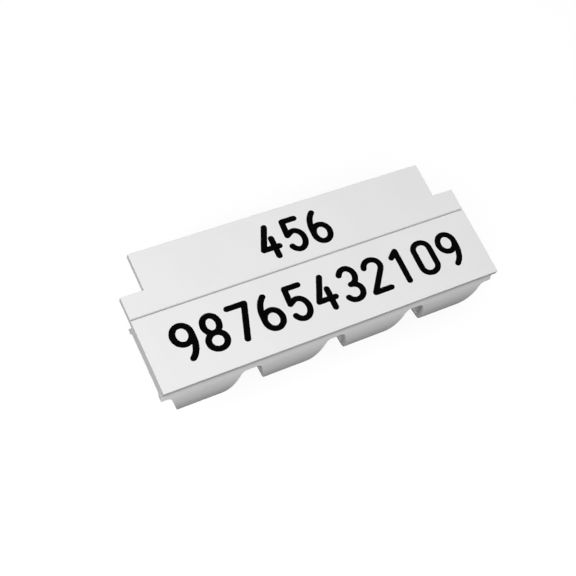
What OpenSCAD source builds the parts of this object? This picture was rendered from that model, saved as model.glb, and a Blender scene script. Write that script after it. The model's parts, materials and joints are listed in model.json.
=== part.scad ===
// Clip-on cable marker, moulded in one piece.
// A flat marker plate lies on a C-shaped clip that snaps over the cable from above.
// X runs along the cable, Y from the front edge of the plate to its back edge, Z up.
// The origin is in the clip's middle plane, where the clip is widest, half-way along the plate.
// All sizes are in millimetres.

/* [Plate] */
// Length of the plate, along the cable
plate_l = 30; // [20:0.5:60]
// Thickness of the plate
plate_t = 0.5; // [0.4:0.05:0.8]
// Width of the marking field over the clip, from the front edge to the score groove
field_w = 6.1; // [5.5:0.1:9]
// Width of the full-length strip behind the score groove
strip_w = 1.9; // [1:0.1:4]
// Width of the shorter tab behind the strip
tab_w = 3.1; // [1:0.1:8]
// Distance by which each end of the tab stands back from the end of the plate
tab_inset = 1.9; // [0.5:0.1:5]
// Width of the score groove at the top of the plate
groove_w = 0.18; // [0.1:0.01:0.4]
// Depth of the score groove
groove_d = 0.16; // [0.1:0.01:0.34]

/* [Clip section] */
// Distance from the plate's front edge to the clip's middle plane
clip_y = 2.95; // [2.5:0.05:4]
// Outside width of the clip at its widest
clip_w = 6.65; // [6:0.05:8]
// Height of the plate's top above the level where the clip is widest
axis_h = 3.2; // [2.8:0.1:3.6]
// Depth of the floor below that level, in the middle of the slit
clip_d = 2.9; // [2.5:0.1:3.5]
// Thickness of the clip's walls and floor
wall_t = 0.42; // [0.3:0.02:0.6]
// Thickness of the clip's roof, under the plate
roof_t = 0.54; // [0.3:0.02:0.8]
// Outside radius of the bulging side walls
side_r = 5.75; // [4.5:0.05:9]
// Outside radius of the bulging floor
floor_r = 6.9; // [5:0.1:12]
// Outside radius between side wall and floor
corner_r = 0.75; // [0.65:0.05:1.2]
// Inside radius between roof and side wall
roof_r = 0.3; // [0.1:0.05:0.6]
// Width of the slit in the floor that the cable is pushed through
slit_w = 2.4; // [1:0.1:3.5]

/* [Clip fingers] */
// Distance by which the clip ends short of the plate's right end
clip_short = 0.13; // [0:0.01:2]
// Number of spring fingers on each side
finger_n = 4; // [1:1:6]
// Gap between the roots of neighbouring fingers
finger_gap = 1.55; // [1:0.05:3]
// Distance from the clip's left end to the root of the first finger
first_gap = 0.81; // [0.3:0.01:2]
// Distance from the root of the last finger to the clip's right end
last_gap = 0.87; // [0.3:0.01:2]
// Angle by which a finger's ends lean inwards towards the floor
finger_lean = 17.6; // [0:0.2:25]
// Height of the continuous skirt that joins the fingers' roots, under the plate
skirt_h = 0.88; // [0.82:0.02:1.2]
// Radius between the skirt and a finger's end
root_r = 0.5; // [0.1:0.05:0.6]

/* [Hidden] */
$fn = 128;

left_x = -plate_l / 2;
right_x = plate_l / 2;
front_y = -clip_y;
groove_y = front_y + field_w;
strip_y = groove_y + strip_w;
tab_y = strip_y + tab_w;
plate_under = axis_h - plate_t;
roof_under = plate_under - roof_t;
skirt_z = plate_under - skirt_h;
clip_l = plate_l - clip_short;
finger_l = (clip_l - first_gap - last_gap - (finger_n - 1) * finger_gap) / finger_n;
finger_pitch = finger_l + finger_gap;
// Arc centres of the section: the front wall's lies beyond the middle, the floor's high above it
side_c = [side_r - clip_w / 2, 0];
floor_c = [0, floor_r - clip_d];
corner_c = meet(side_c, side_r - corner_r, floor_c, floor_r - corner_r);
// Inside corner under the roof, tangent to roof and wall
roof_c_z = roof_under - roof_r;
roof_c_reach = side_r - wall_t - roof_r;
roof_c = [side_c[0] - sqrt(pow(roof_c_reach, 2) - pow(roof_c_z, 2)), roof_c_z];
// Middle of the wall at each lip of the slit
mid_floor_r = floor_r - wall_t / 2;
slit_a = asin((slit_w + wall_t) / 2 / mid_floor_r);
slit_dir = [-sin(slit_a), -cos(slit_a)];
slit_c = floor_c + mid_floor_r * slit_dir;
// Longer than any size of the part, for cuts that run right through
far = 4 * (plate_l + clip_w);
// Amount by which a cut passes the face that it opens
over = 0.02;

function unit(v) = v / norm(v);

// Where two circles cross, on the left of the way from the first centre to the second
function meet(c1, r1, c2, r2) =
    let (way = c2 - c1, d = norm(way), along = (r1 * r1 - r2 * r2 + d * d) / (2 * d))
    c1 + along * way / d + sqrt(r1 * r1 - along * along) * [-way[1], way[0]] / d;

// Everything between two directions, seen from a corner's centre
module wedge(c, u1, u2) {
    polygon([c, c + far * u1, c + 2 * far * unit(u1 + u2), c + far * u2]);
}

// Rounds a convex corner of the 2D child with an arc that is tangent along u1 and u2
module rounded(c, r, u1, u2) {
    difference() {
        children();
        wedge(c, u1, u2);
    }
    translate(c) circle(r);
}

// Below a level, as a 2D half plane
module below(z) {
    translate([-far / 2, z - far]) square([far, far]);
}

// Keeps the front half of a 2D child and mirrors it to the back
module both_sides() {
    for (side = [0, 1]) mirror([side, 0])
        intersection() {
            children();
            translate([-far, -far / 2]) square([far, far]);
        }
}

// Runs a section drawn in Y and Z along X
module along_x(length) {
    rotate([90, 0, 90]) linear_extrude(length) children();
}

// Outline of the clip's tube, moved inwards by inset, with its rounded lower corner
module tube(inset) {
    rounded(corner_c, corner_r - inset, unit(corner_c - side_c), unit(corner_c - floor_c))
        intersection() {
            translate(side_c) circle(side_r - inset);
            translate(floor_c) circle(floor_r - inset);
        }
}

module cavity() {
    rounded(roof_c, roof_r, unit(roof_c - side_c), [0, 1])
        intersection() {
            tube(wall_t);
            below(roof_under);
        }
}

module slit() {
    intersection() {
        wedge(floor_c, slit_dir, [0, -1]);
        below(0);
    }
}

// Half section of the clip with a round lip at the slit, then its mirror image
module clip_section() {
    both_sides() {
        difference() {
            intersection() {
                tube(0);
                below(plate_under + over);
            }
            cavity();
            slit();
        }
        translate(slit_c) circle(wall_t / 2);
    }
}

// Gap beside a finger in side view, from x0 to x1 at the skirt, wider towards the floor
module gap(x0, x1) {
    drop = axis_h + clip_d;
    spread = drop * tan(finger_lean);
    shift = root_r * tan(45 - finger_lean / 2);
    up = [0, 1];
    rounded([x0 + shift, skirt_z - root_r], root_r, [-cos(finger_lean), sin(finger_lean)], up)
        rounded([x1 - shift, skirt_z - root_r], root_r, up, [cos(finger_lean), sin(finger_lean)])
            polygon([
                [x0, skirt_z], [x1, skirt_z],
                [x1 + spread, skirt_z - drop], [x0 - spread, skirt_z - drop]
            ]);
}

// One gap before each finger and one after the last; the outer two run out past the clip's ends
module gaps() {
    for (i = [0 : finger_n]) {
        next = left_x + first_gap + i * finger_pitch;
        x0 = i == 0 ? left_x - finger_pitch : next - finger_gap;
        x1 = i == finger_n ? right_x + finger_pitch : next;
        rotate([90, 0, 0]) linear_extrude(2 * clip_w, center = true) gap(x0, x1);
    }
}

module clip() {
    difference() {
        translate([left_x, 0, 0]) along_x(clip_l) clip_section();
        gaps();
    }
}

module plate() {
    difference() {
        translate([0, 0, plate_under]) linear_extrude(plate_t)
            polygon([
                [left_x, front_y], [right_x, front_y], [right_x, strip_y],
                [right_x - tab_inset, strip_y], [right_x - tab_inset, tab_y],
                [left_x + tab_inset, tab_y], [left_x + tab_inset, strip_y], [left_x, strip_y]
            ]);
        translate([left_x - over, 0, 0]) along_x(plate_l + 2 * over)
            polygon([
                [groove_y - groove_w / 2, axis_h], [groove_y - groove_w / 2, axis_h + over],
                [groove_y + groove_w / 2, axis_h + over], [groove_y + groove_w / 2, axis_h],
                [groove_y, axis_h - groove_d]
            ]);
    }
}

module cable_marker() {
    color("whitesmoke") {
        plate();
        clip();
    }
}

cable_marker();
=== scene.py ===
"""A white clip-on cable marker with plain numbers printed on it, over a pale studio floor.

Every place is in the part's own frame, in metres. X runs along the cable, +Y points from the plate's
front edge to its tab, and +Z points up, out of the marking field.
"""

import json
import math

import bmesh
import bpy
from mathutils import Matrix, Vector
from mathutils.geometry import delaunay_2d_cdt


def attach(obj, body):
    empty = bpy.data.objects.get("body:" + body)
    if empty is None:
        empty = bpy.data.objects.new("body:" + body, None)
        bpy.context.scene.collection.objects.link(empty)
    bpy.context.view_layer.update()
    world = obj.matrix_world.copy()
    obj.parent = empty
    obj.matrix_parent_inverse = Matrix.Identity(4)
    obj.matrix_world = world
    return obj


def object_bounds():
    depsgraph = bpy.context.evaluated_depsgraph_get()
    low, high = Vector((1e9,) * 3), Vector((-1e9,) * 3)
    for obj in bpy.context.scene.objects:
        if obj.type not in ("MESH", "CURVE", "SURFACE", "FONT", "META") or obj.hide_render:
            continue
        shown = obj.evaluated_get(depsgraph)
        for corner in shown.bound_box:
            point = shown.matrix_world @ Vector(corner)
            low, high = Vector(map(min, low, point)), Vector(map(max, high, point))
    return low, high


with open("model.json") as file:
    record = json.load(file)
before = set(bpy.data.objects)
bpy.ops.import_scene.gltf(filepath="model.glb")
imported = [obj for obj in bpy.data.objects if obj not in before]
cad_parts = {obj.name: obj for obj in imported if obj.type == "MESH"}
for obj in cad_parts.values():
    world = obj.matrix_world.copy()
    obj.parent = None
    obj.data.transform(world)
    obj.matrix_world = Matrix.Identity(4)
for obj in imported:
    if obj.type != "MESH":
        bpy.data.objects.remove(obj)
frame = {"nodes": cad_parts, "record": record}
cad_low, cad_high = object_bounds()

MM = 0.001

# Camera, fitted to the corners of the plate: its place, its direction in degrees and its lens
CAMERA_PLACE = Vector((-37.451, -23.440, 78.097)) * MM
CAMERA_AZIMUTH = -54.388
CAMERA_ELEVATION = 60.188
CAMERA_ROLL = 31.400
CAMERA_LENS = 70.475
CAMERA_SENSOR = 36.0
CAMERA_NEAR = 1.0 * MM

# Middle of each printed line, from the mount that it is on
FIELD_PRINT_SHIFT = Vector((0.02, 0.08, 0)) * MM
TAB_PRINT_SHIFT = Vector((0.01, -1.02, 0)) * MM

# Pen of the printed numbers, a little wider along X than along Y, and where its film begins and ends
PEN_X = 0.53 * MM
PEN_Y = 0.46 * MM
PRINT_HEIGHT_OVER_PLATE = 0.010 * MM
PRINT_DEPTH_IN_PLATE = 0.005 * MM

# Degrees between points on the arcs of a digit, and on the round ends and bends of its strokes
ARC_STEP = 9.0
BEND_STEP = 18.0
# Shortest step along a stroke, as a share of the pen's radius
SHORTEST_STEP = 0.05
# Outline points that are nearer than this become one, in millimetres
JOIN_LIMIT = 1e-5

# Softness of the moulded edges
EDGE_RADIUS = 0.035 * MM

# Grey of the shade painted into crevices, beside that of open faces, and how far apart their walls may be
CREVICE_SHADE = 0.50
CREVICE_REACH = 0.20 * MM

# Specular levels of the two dull surfaces
PLASTIC_GLOSS = 0.006
INK_GLOSS = 0.01

# Height of the part over the floor, and the floor's side
FLOOR_DROP = 8.0 * MM
FLOOR_SIZE = 1.5
# Distances from the part between which the floor turns white, past the reach of the lamps
WHITE_START = 0.06
WHITE_END = 0.20


def new_object(name, data):
    """An object in the scene for a mesh, a lamp or a camera."""
    made = bpy.data.objects.new(name, data)
    bpy.context.scene.collection.objects.link(made)
    return made


def new_material(name):
    """A node material with only a Principled shader, and its tree and shader."""
    material = bpy.data.materials.new(name)
    material.use_nodes = True
    tree = material.node_tree
    return material, tree, tree.nodes["Principled BSDF"]


def add_node(tree, kind, **values):
    """A node of that kind, with values for its properties or, failing that, its inputs."""
    node = tree.nodes.new(kind)
    for key, value in values.items():
        if hasattr(node, key):
            setattr(node, key, value)
        else:
            node.inputs[key].default_value = value
    return node


def noise(tree, feature, detail):
    """Noise in the part's own frame, whose features are about that large, in metres."""
    place = add_node(tree, "ShaderNodeTexCoord")
    texture = add_node(tree, "ShaderNodeTexNoise", Scale=1.0 / feature, Detail=detail)
    tree.links.new(place.outputs["Object"], texture.inputs["Vector"])
    return texture.outputs["Fac"]


def spread(tree, value, low, high, start=0.3, end=0.7):
    """A value between start and end, such as a noise's, stretched over the range from low to high."""
    limits = {"From Min": start, "From Max": end, "To Min": low, "To Max": high}
    node = add_node(tree, "ShaderNodeMapRange", **limits)
    tree.links.new(value, node.inputs["Value"])
    return node.outputs["Result"]


def combined(tree, operation, first, second):
    """Two values put together by a mathematical operation."""
    node = add_node(tree, "ShaderNodeMath", operation=operation)
    tree.links.new(first, node.inputs[0])
    tree.links.new(second, node.inputs[1])
    return node.outputs["Value"]


def grey(tree, level):
    """The grey of that level."""
    node = add_node(tree, "ShaderNodeCombineColor")
    for channel in ("Red", "Green", "Blue"):
        tree.links.new(level, node.inputs[channel])
    return node.outputs["Color"]


def painted_crevice_shade(tree):
    """Painted shade from ambient occlusion: 1 on open faces, and down to CREVICE_SHADE in narrow grooves
    and inner corners.
    """
    values = {"samples": 16, "only_local": True, "Distance": CREVICE_REACH}
    opening = add_node(tree, "ShaderNodeAmbientOcclusion", **values)
    return spread(tree, opening.outputs["AO"], low=CREVICE_SHADE, high=1.0, start=0.3, end=0.8)


def bump(tree, shader, value, distance, strength):
    """Fine relief of that height."""
    node = add_node(tree, "ShaderNodeBump", Distance=distance, Strength=strength)
    tree.links.new(value, node.inputs["Height"])
    tree.links.new(node.outputs["Normal"], shader.inputs["Normal"])
    return node


def white_plastic():
    """White moulded plastic: clouded very slightly, with the fine matt grain of an eroded mould, and with
    shade painted into its grooves and inner corners.
    """
    material, tree, shader = new_material("white_plastic")
    cloud = noise(tree, feature=4.0 * MM, detail=3.0)
    grain = noise(tree, feature=0.07 * MM, detail=4.0)
    # The base grey is multiplied by shade painted into grooves and inner corners
    level = combined(tree, "MULTIPLY", spread(tree, cloud, low=0.79, high=0.81), painted_crevice_shade(tree))
    tree.links.new(grey(tree, level), shader.inputs["Base Color"])
    tree.links.new(spread(tree, grain, low=0.46, high=0.56), shader.inputs["Roughness"])
    shader.inputs["Specular IOR Level"].default_value = PLASTIC_GLOSS
    relief = bump(tree, shader, grain, distance=0.003 * MM, strength=0.35)
    edge = add_node(tree, "ShaderNodeBevel", samples=8, Radius=EDGE_RADIUS)
    tree.links.new(edge.outputs["Normal"], relief.inputs["Normal"])
    return material


def black_ink():
    """Matt black marking ink with a slightly uneven film."""
    material, tree, shader = new_material("black_ink")
    unevenness = noise(tree, feature=0.15 * MM, detail=3.0)
    level = spread(tree, unevenness, low=0.0005, high=0.0015)
    tree.links.new(grey(tree, level), shader.inputs["Base Color"])
    tree.links.new(spread(tree, unevenness, low=0.5, high=0.65), shader.inputs["Roughness"])
    shader.inputs["Specular IOR Level"].default_value = INK_GLOSS
    bump(tree, shader, unevenness, distance=0.002 * MM, strength=0.3)
    return material


def dress_marker(material):
    """Gives the marker its plastic."""
    marker = frame["nodes"]["cable_marker"]
    marker.data.materials.clear()
    marker.data.materials.append(material)


def arc(centre_x, centre_y, radius_x, radius_y, start, end):
    """Points along an upright ellipse's arc, with angles in degrees."""
    steps = max(2, math.ceil(abs(end - start) / ARC_STEP))
    angles = [math.radians(start + (end - start) * i / steps) for i in range(steps + 1)]
    return [(centre_x + radius_x * math.cos(t), centre_y + radius_y * math.sin(t)) for t in angles]


def turned(strokes):
    """The same strokes turned by half a turn."""
    return [[(-x, -y) for x, y in stroke] for stroke in strokes]


def digit(sign, a, b):
    """Centre lines of a digit's strokes, in a box of half width a and half height b."""
    if sign == "0":
        left = arc(0, b - a, a, a, 90, 180) + arc(0, a - b, a, a, 180, 270)
        return [left] + turned([left])
    if sign == "1":
        return [[(-0.6 * a, b - 0.7 * a), (0.15 * a, b), (0.15 * a, -b)]]
    if sign == "2":
        return [arc(0, b - a, a, a, 170, -35) + [(-a, -b), (a, -b)]]
    if sign == "3":
        upper = arc(0, 0.48 * b, 0.9 * a, 0.52 * b, 155, -90)
        lower = arc(0, -0.52 * b, a, 0.48 * b, 90, -155)
        return [upper, lower]
    if sign == "4":
        angle = [(0.25 * a, b), (-a, -0.4 * b), (a, -0.4 * b)]
        stem = [(0.45 * a, 0.2 * b), (0.45 * a, -b)]
        return [angle, stem]
    if sign == "5":
        flag = [(0.85 * a, b), (-0.75 * a, b), (-0.85 * a, 0.05 * b)]
        return [flag + arc(0, -0.38 * b, a, 0.62 * b, 120, -150)]
    if sign == "6":
        return turned(digit("9", a, b))
    if sign == "7":
        return [[(-a, b), (a, b), (-0.3 * a, -b)]]
    if sign == "8":
        upper = [0, 0.48 * b, 0.86 * a, 0.52 * b]
        lower = [0, -0.52 * b, a, 0.48 * b]
        return [arc(*ring, start, start + 180) for ring in (upper, lower) for start in (-90, 90)]
    if sign == "9":
        bowl = [0, 0.44 * b, a, 0.56 * b]
        tail = [(a, 0.44 * b)] + arc(-0.8 * a, 0.1 * b, 1.8 * a, 1.27 * b, 0, -60)
        return [arc(*bowl, 90, 270), arc(*bowl, 90, -90), tail]
    raise ValueError(f"{sign} is not a digit")


def left_of(way):
    """The direction at a right angle to the left of a way."""
    return Vector((-way.y, way.x))


def fan(centre, spoke, radius, turn):
    """Points at that radius round a centre, from a spoke's direction through a turn."""
    steps = max(1, math.ceil(math.degrees(abs(turn)) / BEND_STEP))
    return [centre + Matrix.Rotation(turn * i / steps, 2) @ spoke * radius for i in range(steps + 1)]


def bend(here, before, after, radius):
    """Outline points on the left of a bend: several round its outer side, or one on its inner side."""
    turn = math.atan2(before.cross(after), before.dot(after))
    if turn < 0:
        return fan(here, left_of(before), radius, turn)
    half = (left_of(before) + left_of(after)).normalized()
    return [here + half * radius / math.cos(turn / 2)]


def stroke_outline(points, radius):
    """Closed outline of a stroke with round ends, drawn along open centre points."""
    places = [Vector(p) for p in points]
    shortest = SHORTEST_STEP * radius
    path = places[:1] + [p for last, p in zip(places, places[1:]) if (p - last).length > shortest]
    there_and_back = path + path[-2::-1]
    outline = []
    for i in range(len(there_and_back) - 1):
        here = there_and_back[i]
        after = (there_and_back[i + 1] - here).normalized()
        before = (here - there_and_back[i - 1 if i else -2]).normalized()
        if i in (0, len(path) - 1):
            outline += fan(here, left_of(before), radius, -math.pi)
        else:
            outline += bend(here, before, after, radius)
    return outline


def film(name, corners, strokes, level, material):
    """One thin film over all strokes, as lists of corner numbers, on a plate's top at that level."""
    whole_hull = 0
    cut = delaunay_2d_cdt([c / MM for c in corners], [], strokes, whole_hull, JOIN_LIMIT)
    flat_corners, triangles, covering_strokes = cut[0], cut[2], cut[5]
    shape = bmesh.new()
    bottom = level - PRINT_DEPTH_IN_PLATE
    made = [shape.verts.new((c.x * MM, c.y * MM, bottom)) for c in flat_corners]
    covered = [triangle for triangle, strokes_there in zip(triangles, covering_strokes) if strokes_there]
    base = [shape.faces.new([made[i] for i in triangle]) for triangle in covered]
    lifted = bmesh.ops.extrude_face_region(shape, geom=base)["geom"]
    top = [g for g in lifted if isinstance(g, bmesh.types.BMVert)]
    bmesh.ops.translate(shape, verts=top, vec=(0, 0, PRINT_DEPTH_IN_PLATE + PRINT_HEIGHT_OVER_PLATE))
    bmesh.ops.recalc_face_normals(shape, faces=shape.faces)
    mesh = bpy.data.meshes.new(name)
    shape.to_mesh(mesh)
    shape.free()
    mesh.materials.append(material)
    return new_object(name, mesh)


def printed(name, text, centre, height, width, step, material):
    """A line of printed digits, centred at a place on the plate's top."""
    radius = PEN_Y / 2
    stretch = PEN_X / PEN_Y
    half_width = width / stretch / 2 - radius
    half_height = height / 2 - radius
    corners = []
    strokes = []
    for i, sign in enumerate(text):
        shift = Vector((centre.x + (i - (len(text) - 1) / 2) * step, centre.y))
        for stroke in digit(sign, half_width, half_height):
            backwards = reversed(stroke_outline(stroke, radius))
            outline = [Vector((p.x * stretch, p.y)) + shift for p in backwards]
            strokes.append(list(range(len(corners), len(corners) + len(outline))))
            corners += outline
    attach(film(name, corners, strokes, centre.z, material), "root")


def mount_place(name):
    """Where the record says that a mount is."""
    return Vector(next(m["pos_m"] for m in frame["record"]["mounts"] if m["name"] == name))


def aim(thing, azimuth, elevation, roll=0.0):
    """Turns a camera or a lamp to look from that azimuth and elevation, in degrees.

    Returns the direction from what it looks at to the camera or lamp.
    """
    a = math.radians(azimuth)
    e = math.radians(elevation)
    back = Vector((math.sin(a) * math.cos(e), -math.cos(a) * math.cos(e), math.sin(e)))
    turn = (-back).to_track_quat("-Z", "Y").to_matrix()
    thing.rotation_euler = (turn @ Matrix.Rotation(math.radians(roll), 3, "Z")).to_euler()
    return back


def camera():
    """The camera, which sees the part from above its left front corner."""
    data = bpy.data.cameras.new("camera")
    data.lens = CAMERA_LENS
    data.sensor_width = CAMERA_SENSOR
    data.clip_start = CAMERA_NEAR
    made = new_object("camera", data)
    made.location = CAMERA_PLACE
    aim(made, CAMERA_AZIMUTH, CAMERA_ELEVATION, CAMERA_ROLL)
    bpy.context.scene.camera = made


def softbox(name, azimuth, elevation, distance, width, height, strength):
    """A lamp aimed at the part. Strength 1 shows a white surface that faces it as white."""
    data = bpy.data.lights.new(name, "AREA")
    data.shape = "RECTANGLE"
    data.size = width
    data.size_y = height
    data.energy = strength * (math.pi * distance) ** 2
    made = new_object(name, data)
    middle = (cad_low + cad_high) / 2
    made.location = middle + distance * aim(made, azimuth, elevation)


def seen_directly(tree):
    """1 for what the camera sees, also in a reflection or through a clear body, and 0 for other light."""
    path = add_node(tree, "ShaderNodeLightPath")
    total = path.outputs["Is Camera Ray"]
    for ray in ("Is Glossy Ray", "Is Transmission Ray"):
        total = combined(tree, "MAXIMUM", total, path.outputs[ray])
    return total


def surroundings(ambient):
    """A white background that lights the part only a little."""
    world = bpy.data.worlds.new("surroundings")
    bpy.context.scene.world = world
    world.use_nodes = True
    tree = world.node_tree
    background = tree.nodes["Background"]
    background.inputs["Color"].default_value = (1, 1, 1, 1)
    strength = spread(tree, seen_directly(tree), low=ambient, high=1.0, start=0.0, end=1.0)
    tree.links.new(strength, background.inputs["Strength"])


def whiter_far_off(tree, near):
    """That value near the part, rising to 1 at a distance."""
    place = add_node(tree, "ShaderNodeTexCoord")
    away = add_node(tree, "ShaderNodeVectorMath", operation="LENGTH")
    tree.links.new(place.outputs["Object"], away.inputs[0])
    return spread(tree, away.outputs["Value"], low=near, high=1.0, start=WHITE_START, end=WHITE_END)


def pale_floor(glow, tone, bounce):
    """The floor's material: seen as a glow plus a lit tone, and to other light a dull dark grey."""
    material, tree, shader = new_material("pale_floor")
    tree.nodes.remove(shader)
    shown = add_node(tree, "ShaderNodeBsdfDiffuse", Color=(tone, tone, tone, 1))
    light = add_node(tree, "ShaderNodeEmission")
    tree.links.new(whiter_far_off(tree, glow), light.inputs["Strength"])
    bright = add_node(tree, "ShaderNodeAddShader")
    tree.links.new(shown.outputs["BSDF"], bright.inputs[0])
    tree.links.new(light.outputs["Emission"], bright.inputs[1])
    plain = add_node(tree, "ShaderNodeBsdfDiffuse", Color=(bounce, bounce, bounce, 1))
    either = add_node(tree, "ShaderNodeMixShader")
    tree.links.new(seen_directly(tree), either.inputs["Fac"])
    tree.links.new(plain.outputs["BSDF"], either.inputs[1])
    tree.links.new(bright.outputs["Shader"], either.inputs[2])
    tree.links.new(either.outputs["Shader"], tree.nodes["Material Output"].inputs["Surface"])
    return material


def floor(material):
    """A square floor a little below the part, which keeps the part's soft shadow."""
    mesh = bpy.data.meshes.new("floor")
    half = FLOOR_SIZE / 2
    level = cad_low.z - FLOOR_DROP
    corners = [(-half, -half, level), (half, -half, level), (half, half, level), (-half, half, level)]
    mesh.from_pydata(corners, [], [(0, 1, 2, 3)])
    mesh.materials.append(material)
    new_object("floor", mesh)


camera()
surroundings(ambient=0.012)
floor(pale_floor(glow=0.86, tone=0.18, bounce=0.08))
softbox("key_light", azimuth=-58.0, elevation=59.5, distance=0.26, width=0.20, height=0.20, strength=1.33)
# Strip lamps at the part's own height light its ends and its back, and pass over the plate's top
for side, azimuth, strength in (("left", -92.0, 0.04), ("right", 100.0, 0.38), ("back", 170.0, 0.38)):
    strip = {"elevation": 0.0, "distance": 0.30, "width": 0.16, "height": 0.02}
    softbox(side + "_fill", azimuth, strength=strength, **strip)

ink = black_ink()
dress_marker(white_plastic())
printed(
    "field_print", "98765432109", mount_place("marking_field") + FIELD_PRINT_SHIFT,
    height=3.18 * MM, width=2.0 * MM, step=2.386 * MM, material=ink,
)
printed(
    "tab_print", "456", mount_place("marking_tab") + TAB_PRINT_SHIFT,
    height=3.07 * MM, width=1.9 * MM, step=2.28 * MM, material=ink,
)

bpy.context.scene.view_settings.view_transform = "Standard"
